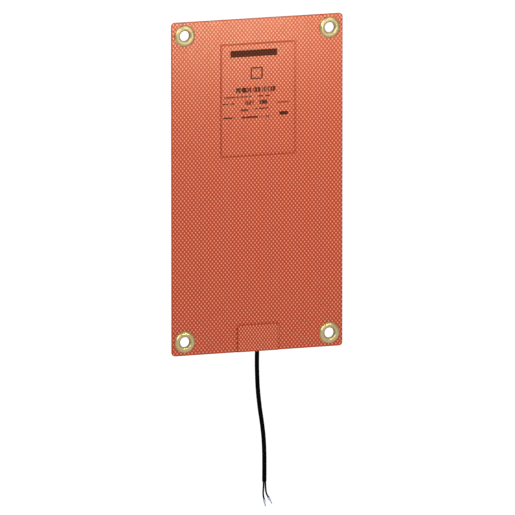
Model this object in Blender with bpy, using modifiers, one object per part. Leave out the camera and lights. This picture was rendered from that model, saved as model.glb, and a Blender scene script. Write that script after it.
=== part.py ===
"""Flexible enclosure heater: a flat silicone rubber mat hung on a wall by four eyelets.

Two plies of rubber-coated glass cloth are pressed round an etched foil track. A cable
enters at the bottom edge between a patch on the front and a moulded cap on the back,
and its two cores are joined there to the ends of the track.

Units are metres. Seen from the front, +X is to the right and +Z is up; the front
faces -Y. The origin is the centre of the mat's back face, which lies on the wall.
"""

import math

import bmesh
import bpy
from mathutils import Vector

# Mat: two plies with the foil between them
MAT_WIDTH = 0.200
MAT_HEIGHT = 0.375
MAT_CORNER_RADIUS = 0.004
PLY_THICKNESS = 0.0007
FOIL_THICKNESS = 0.00006
BOND_GAP = 0.00002

# Heating track, etched from one sheet of foil and held back from the mat's edges
FIELD_SIDE_MARGIN = 0.0150
FIELD_TOP_MARGIN = 0.0375
FIELD_BOTTOM_MARGIN = 0.0375
TRACK_WIDTH = 0.0045
TRACK_PITCH = 0.0090
TURN_FLAT = 0.0002
TAB_SPACING = 0.0080

# Eyelets and the washers behind them
EYELET_INSET = 0.0154
EYELET_BORE = 0.0114
EYELET_WALL = 0.0005
EYELET_FLANGE_DIAMETER = 0.0240
EYELET_CREST_DIAMETER = 0.0168
EYELET_CREST_HEIGHT = 0.0020
EYELET_LIP_RADIUS = 0.0009
EYELET_HOLE_CLEARANCE = 0.0002
WASHER_DIAMETER = 0.0240
WASHER_THICKNESS = 0.0008
WASHER_EDGE = 0.0002
WASHER_DISH_DEPTH = 0.0003
WASHER_DISH_CLEARANCE = 0.0003
EYELET_SEAT_GAP = 0.00005

# Panel for the rating print
LABEL_WIDTH = 0.0865
LABEL_HEIGHT = 0.1255
LABEL_THICKNESS = 0.0004
LABEL_CORNER_RADIUS = 0.0008
LABEL_CENTRE_X = 0.0010
LABEL_TOP_MARGIN = 0.0284

# Lead entry: front patch, cable slot, joint window and rear cap
LEAD_CENTRE_X = 0.0008
PATCH_WIDTH = 0.0480
PATCH_HEIGHT = 0.0305
PATCH_THICKNESS = 0.0012
PATCH_CORNER_RADIUS = 0.0025
CABLE_DIAMETER = 0.0050
CABLE_CLEARANCE = 0.0003
CABLE_INSERTION = 0.0120
WINDOW_WIDTH = 0.0165
WINDOW_START = 0.0140
WINDOW_HEIGHT = 0.0150
CAP_WALL = 0.0012
CAP_SIDE_ROOM = 0.0015
CAP_HEADROOM = 0.0004
CAP_DRAFT = 0.0008
CAP_EDGE_RADIUS = 0.0014
CAP_FLANGE_WIDTH = 0.0030
CAP_FLANGE_THICKNESS = 0.0008
CAP_EDGE_MARGIN = 0.0008
CUT_OVERRUN = 0.0010

# Cores, the crimped joints to the foil, and the ferrules on the free ends
CORE_DIAMETER = 0.0020
CORE_SPACING = 0.0021
SPLICE_WALL = 0.00035
SPLICE_LENGTH = 0.0050
SPLICE_TONGUE_WIDTH = 0.0024
SPLICE_TONGUE_LENGTH = 0.0050
SPLICE_TONGUE_THICKNESS = 0.00025
SPLICE_OFFSET = 0.0055
CRIMP_CLEARANCE = 0.00010
TAIL_STRAIGHT = 0.0015
COLLAR_LENGTH = 0.0055
COLLAR_WALL = 0.00025
COLLAR_MOUTH_FLARE = 0.00015
PIN_DIAMETER = 0.0015
PIN_LENGTH = 0.0032
PIN_BEVEL = 0.00015
CORE_IN_COLLAR = 0.0028
PIN_IN_COLLAR = 0.0012

# Where the hanging cable and its free cores go, as X and Z seen from the front
CABLE_ROUTE = [
    (0.0007, -0.1950),
    (0.0007, -0.2067),
    (0.0016, -0.2294),
    (0.0038, -0.2510),
    (0.0060, -0.2659),
    (0.0077, -0.2790),
    (0.0087, -0.2900),
    (0.0093, -0.3050),
    (0.0094, -0.3215),
    (0.0093, -0.3360),
]
LEFT_CORE_ROUTE = [
    (0.0084, -0.3363),
    (0.0084, -0.3412),
    (0.0081, -0.3465),
    (0.0081, -0.3514),
    (0.0090, -0.3561),
]
RIGHT_CORE_ROUTE = [
    (0.0105, -0.3363),
    (0.0107, -0.3410),
    (0.0111, -0.3462),
    (0.0121, -0.3507),
    (0.0141, -0.3543),
]

# Positions that follow from the sizes; y runs from the front (-) to the wall (+)
MAT_THICKNESS = 2 * PLY_THICKNESS + FOIL_THICKNESS + 2 * BOND_GAP
BACK_PLY_Y = -PLY_THICKNESS
FOIL_Y = BACK_PLY_Y - BOND_GAP - FOIL_THICKNESS
FRONT_FACE_Y = -MAT_THICKNESS
CABLE_Y = FRONT_FACE_Y + CABLE_CLEARANCE + CABLE_DIAMETER / 2
MAT_BOTTOM_Z = -MAT_HEIGHT / 2
MAT_TOP_Z = MAT_HEIGHT / 2
FIELD_WIDTH = MAT_WIDTH - 2 * FIELD_SIDE_MARGIN
FIELD_TOP_Z = MAT_TOP_Z - FIELD_TOP_MARGIN
FIELD_BOTTOM_Z = MAT_BOTTOM_Z + FIELD_BOTTOM_MARGIN
SLOT_WIDTH = CABLE_DIAMETER + 2 * CABLE_CLEARANCE
BARREL_RADIUS = EYELET_BORE / 2 + EYELET_WALL
EYELET_HOLE_RADIUS = BARREL_RADIUS + EYELET_HOLE_CLEARANCE
SPLICE_RADIUS = CORE_DIAMETER / 2 + CRIMP_CLEARANCE + SPLICE_WALL
SPLICE_Y = BACK_PLY_Y + BOND_GAP + SPLICE_RADIUS
WASHER_FLOOR_DEPTH = WASHER_THICKNESS - WASHER_DISH_DEPTH
CURL_RADIUS = EYELET_BORE / 2 + EYELET_WALL + 2 * EYELET_LIP_RADIUS

# Facets of a round piece, of a small round piece, and of a rounded corner
ROUND_STEPS = 32
SMALL_ROUND_STEPS = 16
CORNER_STEPS = 5


# Start from an empty scene

for old in list(bpy.data.objects):
    bpy.data.objects.remove(old, do_unlink=True)

parts = bpy.data.collections.new("enclosure_heater")
cutters = bpy.data.collections.new("cutters")
bpy.context.scene.collection.children.link(parts)
bpy.context.scene.collection.children.link(cutters)


def make_material(name, colour, roughness, metallic):
    """A plain Principled material with the colour seen in the photo."""
    material = bpy.data.materials.new(name)
    material.use_nodes = True
    shader = material.node_tree.nodes["Principled BSDF"]
    shader.inputs["Base Color"].default_value = (*colour, 1.0)
    shader.inputs["Roughness"].default_value = roughness
    shader.inputs["Metallic"].default_value = metallic
    material.diffuse_color = (*colour, 1.0)
    return material


silicone = make_material("orange_silicone_cloth", (0.58, 0.130, 0.058), 0.62, 0.0)
cap_rubber = make_material("moulded_silicone", (0.46, 0.085, 0.040), 0.55, 0.0)
foil_metal = make_material("etched_foil", (0.52, 0.50, 0.46), 0.35, 1.0)
brass = make_material("pressed_brass", (0.72, 0.60, 0.34), 0.28, 1.0)
black_rubber = make_material("black_sheath", (0.012, 0.012, 0.013), 0.45, 0.0)
core_plastic = make_material("black_core_insulation", (0.015, 0.015, 0.016), 0.40, 0.0)
collar_plastic = make_material("pale_blue_collar", (0.40, 0.42, 0.74), 0.45, 0.0)
tinned_copper = make_material("tinned_copper", (0.56, 0.57, 0.58), 0.32, 1.0)


# Outlines and paths

def fillet(corners, radii, closed):
    """Points of a polygon or path in which each corner is replaced by an arc."""
    points = []
    count = len(corners)
    for index, corner in enumerate(corners):
        here = Vector(corner)
        radius = radii[index]
        at_end = not closed and index in (0, count - 1)
        if radius == 0 or at_end:
            points.append(here)
            continue
        before = (Vector(corners[index - 1]) - here).normalized()
        after = (Vector(corners[(index + 1) % count]) - here).normalized()
        half_angle = before.angle(after) / 2
        reach = radius / math.tan(half_angle)
        centre = here + (before + after).normalized() * (radius / math.sin(half_angle))
        start = here + before * reach - centre
        end = here + after * reach - centre
        sweep = start.angle_signed(end)
        for step in range(CORNER_STEPS + 1):
            angle = -sweep * step / CORNER_STEPS
            turned = Vector((
                start.x * math.cos(angle) - start.y * math.sin(angle),
                start.x * math.sin(angle) + start.y * math.cos(angle),
            ))
            points.append(centre + turned)
    return points


def circle(centre_x, centre_z, radius):
    """Points of a round hole in a flat piece."""
    points = []
    for step in range(ROUND_STEPS):
        angle = 2 * math.pi * step / ROUND_STEPS
        x = centre_x + radius * math.cos(angle)
        z = centre_z + radius * math.sin(angle)
        points.append(Vector((x, z)))
    return points


def ribbon(path, width):
    """Outline of a flat strip of one width along a path, mitred at each point."""
    left = []
    right = []
    for index, point in enumerate(path):
        before = path[max(index - 1, 0)]
        after = path[min(index + 1, len(path) - 1)]
        into = (point - before).normalized() if index > 0 else (after - point).normalized()
        out = (after - point).normalized() if index < len(path) - 1 else into
        normal = Vector((-(into.y + out.y), into.x + out.x)).normalized()
        mitre = width / 2 / max(normal.dot(Vector((-into.y, into.x))), 0.5)
        left.append(point + normal * mitre)
        right.append(point - normal * mitre)
    return left + right[::-1]


def smooth_route(knots, spacing):
    """Evenly spaced points on a Catmull-Rom curve through the route's own points."""
    points = [Vector(knot) for knot in knots]
    padded = [2 * points[0] - points[1]] + points + [2 * points[-1] - points[-2]]
    fine = []
    for index in range(1, len(padded) - 2):
        a, b, c, d = padded[index - 1:index + 3]
        for step in range(24):
            t = step / 24
            fine.append(0.5 * (
                2 * b
                + (c - a) * t
                + (2 * a - 5 * b + 4 * c - d) * t ** 2
                + (3 * b - a - 3 * c + d) * t ** 3
            ))
    fine.append(points[-1])
    length = sum((q - p).length for p, q in zip(fine, fine[1:]))
    count = max(2, math.ceil(length / spacing))
    route = [fine[0]]
    walked = 0.0
    for start, end in zip(fine, fine[1:]):
        walked += (end - start).length
        if walked >= length * len(route) / count and len(route) < count:
            route.append(end)
    route.append(fine[-1])
    return route


# Building blocks

def as_mesh(source, name):
    """Turn a curve object into a mesh object with welded caps, and remove the curve."""
    bpy.context.view_layer.update()
    evaluated = source.evaluated_get(bpy.context.evaluated_depsgraph_get())
    mesh = bpy.data.meshes.new_from_object(evaluated)
    shape = bmesh.new()
    shape.from_mesh(mesh)
    bmesh.ops.remove_doubles(shape, verts=shape.verts, dist=1e-7)
    shape.to_mesh(mesh)
    shape.free()
    piece = bpy.data.objects.new(name, mesh)
    piece.matrix_world = source.matrix_world.copy()
    bpy.data.objects.remove(source, do_unlink=True)
    return piece


def flat_piece(name, outlines, front_y, thickness, material):
    """A sheet cut to an outline, with any holes as further outlines, standing in XZ."""
    curve = bpy.data.curves.new(name + "_outline", "CURVE")
    curve.dimensions = "2D"
    curve.fill_mode = "BOTH"
    curve.extrude = thickness / 2
    for outline in outlines:
        spline = curve.splines.new("POLY")
        spline.points.add(len(outline) - 1)
        for point, place in zip(spline.points, outline):
            point.co = (place[0], place[1], 0.0, 1.0)
        spline.use_cyclic_u = True
    drawn = bpy.data.objects.new(name + "_outline", curve)
    drawn.location = (0.0, front_y + thickness / 2, 0.0)
    drawn.rotation_euler = (math.pi / 2, 0.0, 0.0)
    parts.objects.link(drawn)
    piece = as_mesh(drawn, name)
    piece.data.materials.clear()
    piece.data.materials.append(material)
    parts.objects.link(piece)
    return piece


def turned_piece(name, profile, material, collection=parts, steps=ROUND_STEPS):
    """A body of revolution about its own Z from a closed profile of (radius, height)."""
    shape = bmesh.new()
    verts = [shape.verts.new((radius, 0.0, height)) for radius, height in profile]
    for index, vert in enumerate(verts):
        shape.edges.new((vert, verts[(index + 1) % len(verts)]))
    mesh = bpy.data.meshes.new(name)
    shape.to_mesh(mesh)
    shape.free()
    piece = bpy.data.objects.new(name, mesh)
    screw = piece.modifiers.new("turn", "SCREW")
    screw.axis = "Z"
    screw.steps = steps
    screw.render_steps = steps
    screw.use_merge_vertices = True
    screw.merge_threshold = 0.000001
    screw.use_smooth_shade = True
    mesh.materials.append(material)
    collection.objects.link(piece)
    return piece


def tube(name, points, diameter, material):
    """A round wire or cable along the given points, closed at both ends."""
    curve = bpy.data.curves.new(name, "CURVE")
    curve.dimensions = "3D"
    curve.bevel_depth = diameter / 2
    curve.bevel_resolution = 2
    curve.use_fill_caps = True
    spline = curve.splines.new("POLY")
    spline.points.add(len(points) - 1)
    for point, place in zip(spline.points, points):
        point.co = (*place, 1.0)
    curve.materials.append(material)
    wire = bpy.data.objects.new(name, curve)
    parts.objects.link(wire)
    return wire


def moulded_block(name, width, height, depth, draft, radius):
    """A block with drafted sides and rounded edges, its open face on the XZ plane."""
    shape = bmesh.new()
    bmesh.ops.create_cube(shape, size=1.0)
    for vert in shape.verts:
        inset = draft if vert.co.y > 0 else 0.0
        vert.co.x = math.copysign(width / 2 - inset, vert.co.x)
        vert.co.z = math.copysign(height / 2 - inset, vert.co.z)
        vert.co.y = depth if vert.co.y > 0 else 0.0
    rounded = [edge for edge in shape.edges if max(v.co.y for v in edge.verts) > 0]
    bmesh.ops.bevel(
        shape,
        geom=rounded,
        offset=radius,
        segments=3,
        profile=0.5,
        affect="EDGES",
    )
    mesh = bpy.data.meshes.new(name)
    shape.to_mesh(mesh)
    shape.free()
    return bpy.data.objects.new(name, mesh)


def use_as_cutter(tool, place):
    """Keep a boolean's tool in the cutters collection, out of the render."""
    tool.location = place
    tool.hide_render = True
    tool.display_type = "WIRE"
    cutters.objects.link(tool)
    return tool


def combine(piece, tool, operation):
    """Add a live boolean to a piece."""
    boolean = piece.modifiers.new(operation.lower() + "_" + tool.name, "BOOLEAN")
    boolean.operation = operation
    boolean.solver = "EXACT"
    boolean.object = tool


# Mat: front and back plies, with the eyelet holes and the cable's slot

EYELET_X = MAT_WIDTH / 2 - EYELET_INSET
EYELET_Z = MAT_HEIGHT / 2 - EYELET_INSET
EYELETS = {
    "top_left": (-EYELET_X, EYELET_Z),
    "top_right": (EYELET_X, EYELET_Z),
    "bottom_left": (-EYELET_X, -EYELET_Z),
    "bottom_right": (EYELET_X, -EYELET_Z),
}

slot_left = LEAD_CENTRE_X - SLOT_WIDTH / 2
slot_right = LEAD_CENTRE_X + SLOT_WIDTH / 2
window_left = LEAD_CENTRE_X - WINDOW_WIDTH / 2
window_right = LEAD_CENTRE_X + WINDOW_WIDTH / 2
window_bottom = MAT_BOTTOM_Z + WINDOW_START
window_top = window_bottom + WINDOW_HEIGHT
eyelet_holes = [circle(x, z, EYELET_HOLE_RADIUS) for x, z in EYELETS.values()]

front_corners = [
    (-MAT_WIDTH / 2, MAT_BOTTOM_Z),
    (slot_left, MAT_BOTTOM_Z),
    (slot_left, window_bottom),
    (slot_right, window_bottom),
    (slot_right, MAT_BOTTOM_Z),
    (MAT_WIDTH / 2, MAT_BOTTOM_Z),
    (MAT_WIDTH / 2, MAT_TOP_Z),
    (-MAT_WIDTH / 2, MAT_TOP_Z),
]
front_radii = [MAT_CORNER_RADIUS, 0, 0, 0, 0] + [MAT_CORNER_RADIUS] * 3
front_outline = fillet(front_corners, front_radii, True)
flat_piece("front_sheet", [front_outline] + eyelet_holes, FRONT_FACE_Y, PLY_THICKNESS, silicone)

back_corners = [
    (-MAT_WIDTH / 2, MAT_BOTTOM_Z),
    (slot_left, MAT_BOTTOM_Z),
    (slot_left, window_bottom),
    (window_left, window_bottom),
    (window_left, window_top),
    (window_right, window_top),
    (window_right, window_bottom),
    (slot_right, window_bottom),
    (slot_right, MAT_BOTTOM_Z),
    (MAT_WIDTH / 2, MAT_BOTTOM_Z),
    (MAT_WIDTH / 2, MAT_TOP_Z),
    (-MAT_WIDTH / 2, MAT_TOP_Z),
]
back_radii = [MAT_CORNER_RADIUS] + [0] * 8 + [MAT_CORNER_RADIUS] * 3
back_outline = fillet(back_corners, back_radii, True)
flat_piece("back_sheet", [back_outline] + eyelet_holes, BACK_PLY_Y, PLY_THICKNESS, silicone)


# Heating track: a serpentine whose two ends come down to the joint window

runs = 2 * round(FIELD_WIDTH / TRACK_PITCH / 2)
step_x = FIELD_WIDTH / (runs - 1)
turn_low_z = FIELD_BOTTOM_Z + step_x
tab_left = LEAD_CENTRE_X - TAB_SPACING / 2
tab_right = LEAD_CENTRE_X + TAB_SPACING / 2
tab_end_z = MAT_BOTTOM_Z + CABLE_INSERTION + SPLICE_OFFSET + SPLICE_LENGTH / 2

track_corners = [
    (tab_left, tab_end_z),
    (tab_left, FIELD_BOTTOM_Z),
    (-FIELD_WIDTH / 2, FIELD_BOTTOM_Z),
]
for run in range(runs):
    run_x = -FIELD_WIDTH / 2 + run * step_x
    goes_up = run % 2 == 0
    if run > 0:
        track_corners.append((run_x, turn_low_z if goes_up else FIELD_TOP_Z))
    if run < runs - 1:
        track_corners.append((run_x, FIELD_TOP_Z if goes_up else turn_low_z))
track_corners += [
    (FIELD_WIDTH / 2, FIELD_BOTTOM_Z),
    (tab_right, FIELD_BOTTOM_Z),
    (tab_right, tab_end_z),
]
bend = (min(step_x, TAB_SPACING) - TURN_FLAT) / 2
track_path = fillet(track_corners, [bend] * len(track_corners), False)
flat_piece("heating_element", [ribbon(track_path, TRACK_WIDTH)], FOIL_Y, FOIL_THICKNESS, foil_metal)


# Panel for the rating print, bonded on the front near the top

def rectangle(centre_x, bottom, width, height):
    """Four corners, anticlockwise from the bottom left."""
    left = centre_x - width / 2
    right = centre_x + width / 2
    return [(left, bottom), (right, bottom), (right, bottom + height), (left, bottom + height)]


label_bottom = MAT_TOP_Z - LABEL_TOP_MARGIN - LABEL_HEIGHT
label_corners = rectangle(LABEL_CENTRE_X, label_bottom, LABEL_WIDTH, LABEL_HEIGHT)
label_outline = fillet(label_corners, [LABEL_CORNER_RADIUS] * 4, True)
label_y = FRONT_FACE_Y - BOND_GAP - LABEL_THICKNESS
flat_piece("label_panel", [label_outline], label_y, LABEL_THICKNESS, silicone)


# Front patch over the cable's slot, flush with the mat's bottom edge

patch_corners = rectangle(LEAD_CENTRE_X, MAT_BOTTOM_Z, PATCH_WIDTH, PATCH_HEIGHT)
patch_radii = [0, 0, PATCH_CORNER_RADIUS, PATCH_CORNER_RADIUS]
patch_outline = fillet(patch_corners, patch_radii, True)
patch_y = FRONT_FACE_Y - BOND_GAP - PATCH_THICKNESS
flat_piece("lead_patch", [patch_outline], patch_y, PATCH_THICKNESS, silicone)


# Rear cap: a thin moulded cover with a bonding flange, open towards the mat

cap_room_width = WINDOW_WIDTH + 2 * CAP_SIDE_ROOM
cap_room_height = CABLE_INSERTION + WINDOW_HEIGHT
cap_room_depth = CABLE_Y + CABLE_DIAMETER / 2 + CAP_HEADROOM
cap_width = cap_room_width + 2 * CAP_WALL
cap_height = cap_room_height + 2 * CAP_WALL
cap_depth = cap_room_depth + CAP_WALL
flange_bottom = MAT_BOTTOM_Z + CAP_EDGE_MARGIN
cap_centre_z = flange_bottom + CAP_FLANGE_WIDTH + cap_height / 2

flange_corners = rectangle(
    LEAD_CENTRE_X,
    flange_bottom,
    cap_width + 2 * CAP_FLANGE_WIDTH,
    cap_height + 2 * CAP_FLANGE_WIDTH,
)
flange_outline = fillet(flange_corners, [CAP_FLANGE_WIDTH] * 4, True)
lead_cap = flat_piece("lead_cap", [flange_outline], BOND_GAP, CAP_FLANGE_THICKNESS, cap_rubber)

cap_base_y = BOND_GAP + CAP_FLANGE_THICKNESS / 2
cap_dome = moulded_block(
    "cap_dome", cap_width, cap_height, cap_depth - cap_base_y, CAP_DRAFT, CAP_EDGE_RADIUS
)
use_as_cutter(cap_dome, (LEAD_CENTRE_X, cap_base_y, cap_centre_z))
combine(lead_cap, cap_dome, "UNION")

cap_room = moulded_block(
    "cap_room",
    cap_room_width,
    cap_room_height,
    cap_room_depth + PLY_THICKNESS,
    CAP_DRAFT,
    CAP_EDGE_RADIUS - CAP_WALL / 2,
)
use_as_cutter(cap_room, (LEAD_CENTRE_X, -PLY_THICKNESS, cap_centre_z))
combine(lead_cap, cap_room, "DIFFERENCE")

bore_shape = bmesh.new()
bore_length = CUT_OVERRUN + CAP_EDGE_MARGIN + CAP_FLANGE_WIDTH + CAP_WALL + CUT_OVERRUN
bore_centre_z = MAT_BOTTOM_Z - CUT_OVERRUN + bore_length / 2
bmesh.ops.create_cone(
    bore_shape,
    cap_ends=True,
    segments=ROUND_STEPS,
    radius1=SLOT_WIDTH / 2,
    radius2=SLOT_WIDTH / 2,
    depth=bore_length,
)
bore_mesh = bpy.data.meshes.new("cable_bore")
bore_shape.to_mesh(bore_mesh)
bore_shape.free()
cable_bore = bpy.data.objects.new("cable_bore", bore_mesh)
use_as_cutter(cable_bore, (LEAD_CENTRE_X, CABLE_Y, bore_centre_z))
combine(lead_cap, cable_bore, "DIFFERENCE")


# Eyelets: one pressing each, domed at the front and curled over its washer at the back

def eyelet_profile():
    """Closed section of the sheet brass; height 0 is the mat's back face."""
    middle_bore = EYELET_BORE / 2 + EYELET_WALL / 2
    rim = EYELET_FLANGE_DIAMETER / 2 - EYELET_WALL / 2
    crest = EYELET_CREST_DIAMETER / 2
    rim_z = MAT_THICKNESS + EYELET_SEAT_GAP + EYELET_WALL / 2
    crest_z = MAT_THICKNESS + EYELET_CREST_HEIGHT - EYELET_WALL / 2
    throat_z = MAT_THICKNESS
    lip_z = -BOND_GAP - WASHER_FLOOR_DEPTH - EYELET_SEAT_GAP - EYELET_WALL / 2

    path = []
    for step in range(4):
        angle = math.radians(90) * step / 4
        path.append((
            crest + (rim - crest) * math.cos(angle),
            rim_z + (crest_z - rim_z) * math.sin(angle),
        ))
    for step in range(5):
        angle = math.radians(90) * step / 4
        path.append((
            crest - (crest - middle_bore) * math.sin(angle),
            throat_z + (crest_z - throat_z) * math.cos(angle),
        ))
    for step in range(5):
        angle = math.radians(180) * step / 4
        path.append((
            middle_bore + EYELET_LIP_RADIUS * (1 - math.cos(angle)),
            lip_z - EYELET_LIP_RADIUS * math.sin(angle),
        ))
    points = [Vector(place) for place in path]
    return ribbon(points, EYELET_WALL)


def washer_profile():
    """Closed section of the flat ring, dished at the bore to take the eyelet's curl."""
    inner = EYELET_HOLE_RADIUS
    outer = WASHER_DIAMETER / 2
    dish = CURL_RADIUS + WASHER_DISH_CLEARANCE
    front = -BOND_GAP
    floor = front - WASHER_FLOOR_DEPTH
    back = front - WASHER_THICKNESS
    return [
        (inner, front),
        (outer - WASHER_EDGE, front),
        (outer, front - WASHER_EDGE),
        (outer, back + WASHER_EDGE),
        (outer - WASHER_EDGE, back),
        (dish + WASHER_DISH_DEPTH, back),
        (dish, floor),
        (inner, floor),
    ]


for corner, (eyelet_x, eyelet_z) in EYELETS.items():
    eyelet = turned_piece("eyelet_" + corner, eyelet_profile(), brass)
    washer = turned_piece("washer_" + corner, washer_profile(), brass)
    for ring in (eyelet, washer):
        ring.location = (eyelet_x, 0.0, eyelet_z)
        ring.rotation_euler = (math.pi / 2, 0.0, 0.0)


# Cable: the sheath from inside the cap down to where the cores part

sheath_top_z = MAT_BOTTOM_Z + CABLE_INSERTION
sheath_route = [(LEAD_CENTRE_X, sheath_top_z), (LEAD_CENTRE_X, MAT_BOTTOM_Z)] + CABLE_ROUTE
sheath_points = [(p.x, CABLE_Y, p.y) for p in smooth_route(sheath_route, 1.6 * CABLE_DIAMETER)]
tube("cable_sheath", sheath_points, CABLE_DIAMETER, black_rubber)


# Joints inside the cap: a core's tail in a crimp barrel whose tongue lies on the foil

def crimp_profile():
    """Closed section of the barrel, from its mouth up."""
    inner = CORE_DIAMETER / 2 + CRIMP_CLEARANCE
    return [
        (inner, 0.0),
        (inner, SPLICE_LENGTH),
        (SPLICE_RADIUS, SPLICE_LENGTH),
        (SPLICE_RADIUS, 0.0),
    ]


for side, sign in (("left", -1), ("right", 1)):
    splice_x = LEAD_CENTRE_X + sign * TAB_SPACING / 2
    splice_z = sheath_top_z + SPLICE_OFFSET
    splice = turned_piece("splice_" + side, crimp_profile(), tinned_copper, steps=SMALL_ROUND_STEPS)
    splice.location = (splice_x, SPLICE_Y, splice_z)

    tongue_shape = bmesh.new()
    bmesh.ops.create_cube(tongue_shape, size=1.0)
    reach = SPLICE_LENGTH / 2 + SPLICE_TONGUE_LENGTH
    for vert in tongue_shape.verts:
        vert.co.x *= SPLICE_TONGUE_WIDTH
        vert.co.y *= SPLICE_TONGUE_THICKNESS
        vert.co.z *= reach
    tongue_mesh = bpy.data.meshes.new("tongue_" + side)
    tongue_shape.to_mesh(tongue_mesh)
    tongue_shape.free()
    tongue = bpy.data.objects.new("tongue_" + side, tongue_mesh)
    tongue_y = SPLICE_Y - SPLICE_RADIUS + SPLICE_TONGUE_THICKNESS / 2
    use_as_cutter(tongue, (splice_x, tongue_y, splice_z + SPLICE_LENGTH / 2 + reach / 2))
    combine(splice, tongue, "UNION")

    tail_route = [
        (LEAD_CENTRE_X + sign * CORE_SPACING / 2, CABLE_Y, sheath_top_z + CABLE_CLEARANCE),
        (LEAD_CENTRE_X + sign * CORE_SPACING / 2, CABLE_Y, sheath_top_z + TAIL_STRAIGHT),
        (splice_x, SPLICE_Y, splice_z - TAIL_STRAIGHT),
        (splice_x, SPLICE_Y, splice_z),
        (splice_x, SPLICE_Y, splice_z + SPLICE_LENGTH),
    ]
    tail_points = smooth_route(tail_route, CORE_DIAMETER)
    tube("core_tail_" + side, tail_points, CORE_DIAMETER, core_plastic)


# Free ends: each core runs into a ferrule's collar, which holds the bare pin

def collar_profile():
    """Closed section of the plastic collar, flared at the mouth the core enters."""
    bore = CORE_DIAMETER / 2 + CRIMP_CLEARANCE
    outer = bore + COLLAR_WALL
    return [
        (bore, 0.0),
        (bore, COLLAR_LENGTH),
        (outer, COLLAR_LENGTH),
        (outer + COLLAR_MOUTH_FLARE / 2, COLLAR_LENGTH / 3),
        (outer + COLLAR_MOUTH_FLARE, 0.0),
    ]


def pin_profile():
    """Closed section of the pin, a tube crimped on the strands, eased at its tip."""
    radius = PIN_DIAMETER / 2
    length = PIN_IN_COLLAR + PIN_LENGTH
    hollow = radius / 4
    return [
        (hollow, 0.0),
        (hollow, length),
        (radius - PIN_BEVEL, length),
        (radius, length - PIN_BEVEL),
        (radius, 0.0),
    ]


for side, route in (("left", LEFT_CORE_ROUTE), ("right", RIGHT_CORE_ROUTE)):
    mouth = Vector((route[-1][0], CABLE_Y, route[-1][1]))
    bend_before = Vector((route[-2][0], CABLE_Y, route[-2][1]))
    along = (mouth - bend_before).normalized()
    core_end = mouth + along * CORE_IN_COLLAR
    core_route = [(x, CABLE_Y, z) for x, z in route] + [tuple(core_end)]
    core_points = smooth_route(core_route, CORE_DIAMETER)
    tube("core_" + side, core_points, CORE_DIAMETER, core_plastic)

    turn = along.to_track_quat("Z", "Y").to_euler()
    collar = turned_piece("ferrule_collar_" + side, collar_profile(), collar_plastic, steps=SMALL_ROUND_STEPS)
    collar.location = mouth
    collar.rotation_euler = turn
    pin = turned_piece("ferrule_pin_" + side, pin_profile(), tinned_copper, steps=SMALL_ROUND_STEPS)
    pin.location = mouth + along * (COLLAR_LENGTH - PIN_IN_COLLAR)
    pin.rotation_euler = turn
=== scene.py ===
"""Flexible enclosure heater: an orange silicone rubber mat, brass eyelets, a short black lead.

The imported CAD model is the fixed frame. Each visible piece is made again here with its own finish:
the woven face of the rubber, the panel with its plain printed bars, pressed brass, black rubber
and the two ferrules. Units are metres, the front faces -Y and +Z is up.
"""

import math

import bpy
import numpy as np
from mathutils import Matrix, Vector


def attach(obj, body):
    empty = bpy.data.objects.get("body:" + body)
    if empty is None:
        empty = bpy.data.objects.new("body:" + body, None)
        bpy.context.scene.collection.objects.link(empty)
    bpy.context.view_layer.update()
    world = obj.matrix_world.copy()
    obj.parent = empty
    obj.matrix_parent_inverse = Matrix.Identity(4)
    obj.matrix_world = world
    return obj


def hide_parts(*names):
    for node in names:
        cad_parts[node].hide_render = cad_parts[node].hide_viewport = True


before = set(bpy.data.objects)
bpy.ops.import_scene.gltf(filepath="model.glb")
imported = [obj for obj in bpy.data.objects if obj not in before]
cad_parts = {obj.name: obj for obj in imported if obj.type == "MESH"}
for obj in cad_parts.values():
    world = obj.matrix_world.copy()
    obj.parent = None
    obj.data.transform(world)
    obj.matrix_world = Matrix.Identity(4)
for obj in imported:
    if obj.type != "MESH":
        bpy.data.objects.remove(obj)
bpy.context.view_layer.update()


# Camera
# A long lens stands far away, 19 degrees to the left of the front and 11 degrees above it, so
# that the mat's edges stay parallel. Its length is in millimetres.

CAMERA_DISTANCE = 20.0
CAMERA_LEFT = math.radians(19.03)
CAMERA_UP = math.radians(10.994)
CAMERA_AIM = Vector((0.0009, 0.0, -0.0823))
CAMERA_LENS = 1262.84

towards_camera = Vector((
    -math.sin(CAMERA_LEFT) * math.cos(CAMERA_UP),
    -math.cos(CAMERA_LEFT) * math.cos(CAMERA_UP),
    math.sin(CAMERA_UP),
))
bpy.ops.object.camera_add(location=CAMERA_AIM + towards_camera * CAMERA_DISTANCE)
camera = bpy.context.object
camera.rotation_euler = (-towards_camera).to_track_quat("-Z", "Y").to_euler()
camera.data.sensor_width = 36.0
camera.data.lens = CAMERA_LENS
camera.data.clip_start = 0.1
camera.data.clip_end = 400.0
bpy.context.scene.camera = camera


# Cable sheath
# The lead's outer sheath is a round, satin black rubber tube, 5 mm across. It comes out of the
# mat's bottom edge, hangs in one long easy curve and is cut square where the two cores part.

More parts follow.
